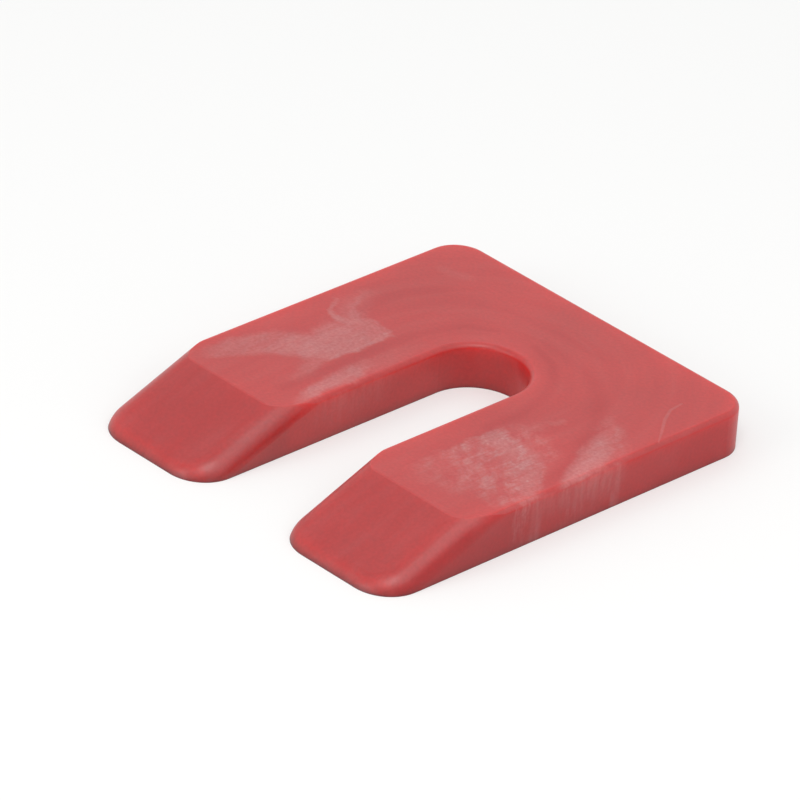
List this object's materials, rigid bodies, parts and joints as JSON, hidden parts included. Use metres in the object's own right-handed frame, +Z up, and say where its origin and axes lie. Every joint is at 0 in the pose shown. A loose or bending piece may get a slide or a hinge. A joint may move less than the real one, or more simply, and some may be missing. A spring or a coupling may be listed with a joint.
{
  "type": "packing shim",
  "caption": "Flat U-shaped plastic shim with a round-ended slot for a bolt, rounded back corners and a ramp on the end of each leg.",
  "frame": {"origin": "under the middle of the plate, on the plane that it lies on", "axes": "+Z up through the plate's thickness, X across the two legs, Y along them with the legs' tips at -Y and the back edge at +Y"},
  "size_m": [0.06, 0.07, 0.007],
  "materials": {
    "plastic": "red moulded plastic, satin, with faint paler flow streaks"
  },
  "bodies": {
    "root": {"shim": "plastic"}
  },
  "joints": []
}
